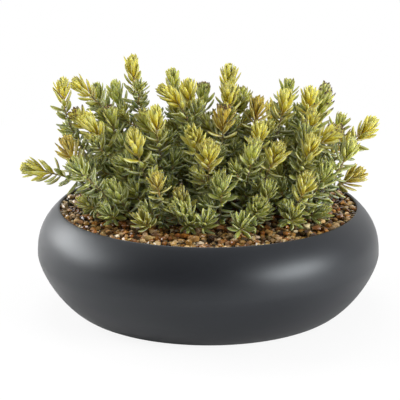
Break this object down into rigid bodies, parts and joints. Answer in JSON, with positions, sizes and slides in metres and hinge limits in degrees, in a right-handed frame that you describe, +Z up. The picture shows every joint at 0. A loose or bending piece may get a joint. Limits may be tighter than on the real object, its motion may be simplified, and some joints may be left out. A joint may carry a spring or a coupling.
{
  "type": "potted burro's tail plant",
  "caption": "Low round charcoal bowl filled with growing mix and topped with gravel, planted with upright leafy stonecrop sprigs whose tufted heads are yellow-green.",
  "frame": {"origin": "centre of the bowl's flat foot, on the surface that it stands on", "axes": "+Z up; -Y towards the planting's front; +X to the right seen from the front"},
  "size_m": [0.4215, 0.4, 0.2983],
  "materials": {
    "bowl": "satin charcoal glaze",
    "gravel": "wet-looking river gravel, cream to dark brown",
    "growing_mix": "bark and peat mix, matte",
    "gold_sprig": "waxy succulent leaf, yellow head with dark tips",
    "lime_sprig": "waxy succulent leaf, yellow-green head",
    "green_sprig": "waxy succulent leaf, grey-green head",
    "bronze_sprig": "waxy succulent leaf, bronze head with dark tips"
  },
  "bodies": {
    "root": {"bowl": "bowl", "gravel_bed": "gravel", "growing_mix": "growing_mix", "sprig_left_1": "gold_sprig", "sprig_left_2": "gold_sprig", "sprig_left_3": "gold_sprig", "sprig_left_4": "gold_sprig", "sprig_left_5": "gold_sprig", "sprig_left_6": "bronze_sprig", "sprig_left_7": "lime_sprig", "sprig_left_8": "green_sprig", "sprig_middle_left_1": "green_sprig", "sprig_middle_left_2": "lime_sprig", "sprig_middle_left_3": "green_sprig", "sprig_middle_left_4": "gold_sprig", "sprig_middle_left_5": "lime_sprig", "sprig_middle_left_6": "gold_sprig", "sprig_middle_left_7": "gold_sprig", "sprig_middle_left_8": "green_sprig", "sprig_middle_1": "bronze_sprig", "sprig_middle_2": "lime_sprig", "sprig_middle_3": "gold_sprig", "sprig_middle_4": "gold_sprig", "sprig_middle_5": "green_sprig", "sprig_middle_6": "bronze_sprig", "sprig_middle_7": "lime_sprig", "sprig_middle_8": "gold_sprig", "sprig_middle_right_1": "gold_sprig", "sprig_middle_right_2": "gold_sprig", "sprig_middle_right_3": "bronze_sprig", "sprig_middle_right_4": "gold_sprig", "sprig_middle_right_5": "lime_sprig", "sprig_middle_right_6": "bronze_sprig", "sprig_middle_right_7": "gold_sprig", "sprig_middle_right_8": "gold_sprig", "sprig_middle_right_9": "lime_sprig", "sprig_right_1": "green_sprig", "sprig_right_2": "gold_sprig", "sprig_right_3": "gold_sprig", "sprig_right_4": "lime_sprig", "sprig_right_5": "gold_sprig", "sprig_right_6": "lime_sprig", "sprig_right_7": "gold_sprig", "sprig_right_8": "gold_sprig", "sprig_right_9": "lime_sprig", "sprig_right_10": "bronze_sprig", "sprig_front_1": "gold_sprig", "sprig_front_2": "gold_sprig", "sprig_front_3": "lime_sprig", "sprig_front_4": "green_sprig", "sprig_front_5": "green_sprig", "sprig_front_6": "green_sprig", "sprig_back_1": "green_sprig", "sprig_back_2": "lime_sprig", "sprig_back_3": "green_sprig", "sprig_back_4": "gold_sprig", "sprig_back_5": "green_sprig", "sprig_back_6": "gold_sprig", "sprig_back_7": "lime_sprig", "sprig_back_8": "gold_sprig"}
  },
  "joints": []
}
